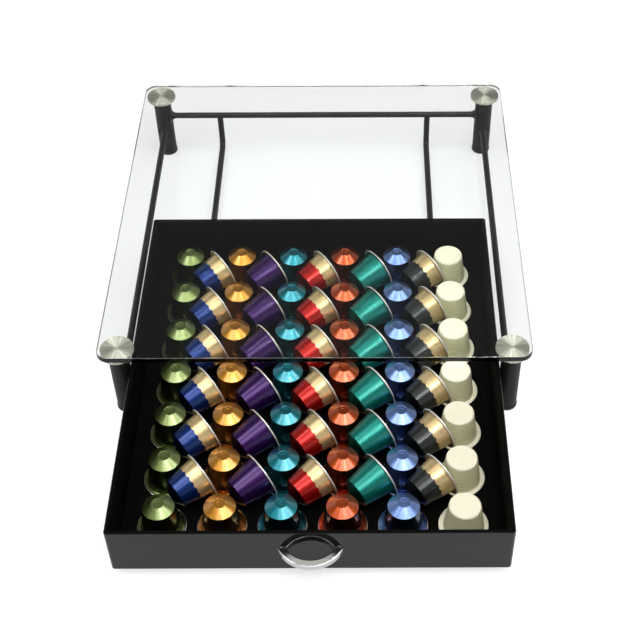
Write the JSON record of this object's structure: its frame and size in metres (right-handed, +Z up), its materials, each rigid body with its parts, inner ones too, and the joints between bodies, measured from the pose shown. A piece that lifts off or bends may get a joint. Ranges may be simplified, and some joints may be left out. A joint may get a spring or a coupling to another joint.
{
  "type": "coffee capsule rack",
  "caption": "Coffee capsule rack: clear glass shelf with round corners on black tube legs, over a black pull-out drawer with a chrome bow handle, filled with coloured capsules.",
  "frame": {"origin": "middle of the rack's footprint on the worktop, with the drawer part open as pictured", "axes": "+Z up, +Y from the drawer's front to the back of the rack, +X to the right seen from the front"},
  "size_m": [0.334, 0.5102, 0.07],
  "materials": {
    "tempered_glass": "polished clear float glass with a green edge",
    "brushed_disc": "turned face with fine rings",
    "zinc_plated_steel": "bright zinc plate",
    "black_powder_coat": "satin black powder coat",
    "glide_plastic": "moulded black",
    "black_gloss_board": "gloss black sheet",
    "chrome_plate": "mirror chrome",
    "foil": "plain foil",
    "cream_capsule": "ribbed moulded cream plastic",
    "olive_capsule": "coloured anodised sheet",
    "gold_capsule": "coloured anodised sheet",
    "teal_capsule": "coloured anodised sheet",
    "copper_capsule": "coloured anodised sheet",
    "periwinkle_capsule": "coloured anodised sheet",
    "navy_capsule": "coloured anodised sheet",
    "purple_capsule": "coloured anodised sheet",
    "red_capsule": "coloured anodised sheet",
    "green_capsule": "coloured anodised sheet",
    "black_capsule": "coloured anodised sheet"
  },
  "bodies": {
    "frame": {"glass_top": "tempered_glass", "disc_front_left": "brushed_disc", "disc_front_right": "brushed_disc", "disc_rear_left": "brushed_disc", "disc_rear_right": "brushed_disc", "disc_studs": "zinc_plated_steel", "leg_front_left": "black_powder_coat", "leg_front_right": "black_powder_coat", "leg_rear_left": "black_powder_coat", "leg_rear_right": "black_powder_coat", "leg_inserts": "zinc_plated_steel", "foot_front_left": "glide_plastic", "foot_front_right": "glide_plastic", "foot_rear_left": "glide_plastic", "foot_rear_right": "glide_plastic", "rear_crossbar": "black_powder_coat", "front_crossbar": "black_powder_coat", "side_rail_left": "black_powder_coat", "side_rail_right": "black_powder_coat", "runner_left": "black_powder_coat", "runner_right": "black_powder_coat"},
    "drawer": {"drawer_floor": "black_gloss_board", "drawer_front": "black_gloss_board", "drawer_back": "black_gloss_board", "drawer_side_left": "black_gloss_board", "drawer_side_right": "black_gloss_board", "drawer_handle": "chrome_plate", "handle_screws": "zinc_plated_steel", "capsules_olive": "olive_capsule", "capsules_gold": "gold_capsule", "capsules_teal": "teal_capsule", "capsules_copper": "copper_capsule", "capsules_periwinkle": "periwinkle_capsule", "capsules_cream": "cream_capsule", "capsules_navy": "navy_capsule", "capsules_purple": "purple_capsule", "capsules_red": "red_capsule", "capsules_green": "green_capsule", "capsules_black": "black_capsule", "standing_lids": "foil", "lying_lids": "foil"}
  },
  "joints": [
    {"name": "drawer_slide", "type": "slide", "parent": "frame", "child": "drawer", "axis": [0, -1, 0], "range_m": [-0.1525, 0.08]}
  ]
}
